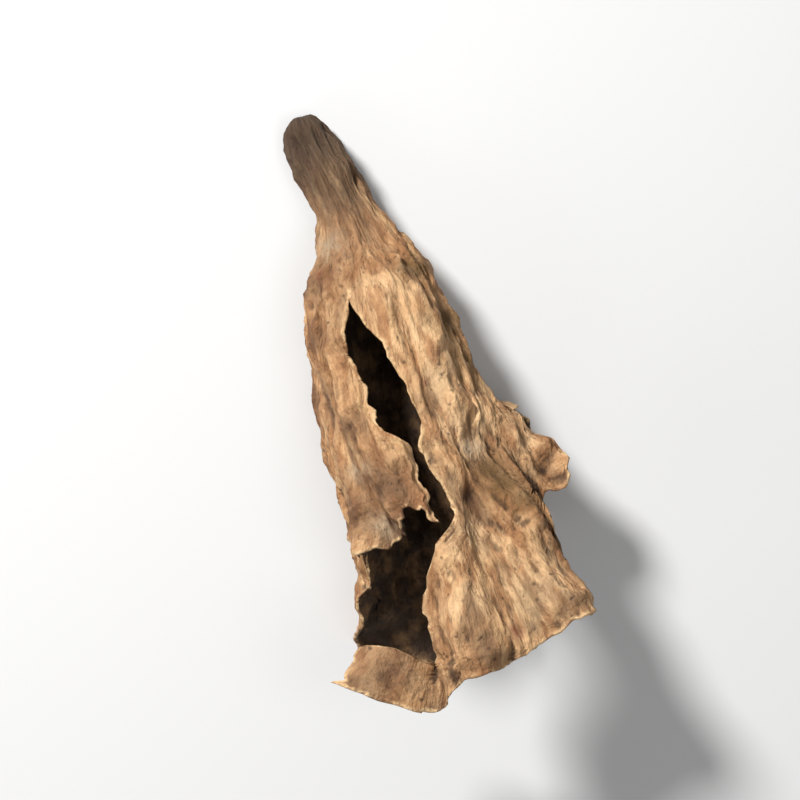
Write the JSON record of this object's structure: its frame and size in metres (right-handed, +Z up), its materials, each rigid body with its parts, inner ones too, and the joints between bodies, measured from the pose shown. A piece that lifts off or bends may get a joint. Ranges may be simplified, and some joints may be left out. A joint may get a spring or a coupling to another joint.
{
  "type": "dried black trumpet mushroom",
  "caption": "Dried black trumpet mushroom lying on its side: a hollow horn of thin wrinkled flesh with a slim stem, a long tear and a wavy flared rim.",
  "frame": {"origin": "on the resting surface, under the middle of the mushroom's box", "axes": "+Z up, with the torn side on top; the stem's foot points to +Y and the open mouth to -Y"},
  "size_m": [0.0164, 0.0362, 0.0123],
  "materials": {
    "dried_flesh": "dull, dry and leathery; tan to grey-brown outside with long wrinkles, black-brown inside"
  },
  "bodies": {
    "root": {"dried_trumpet": "dried_flesh"}
  },
  "joints": []
}
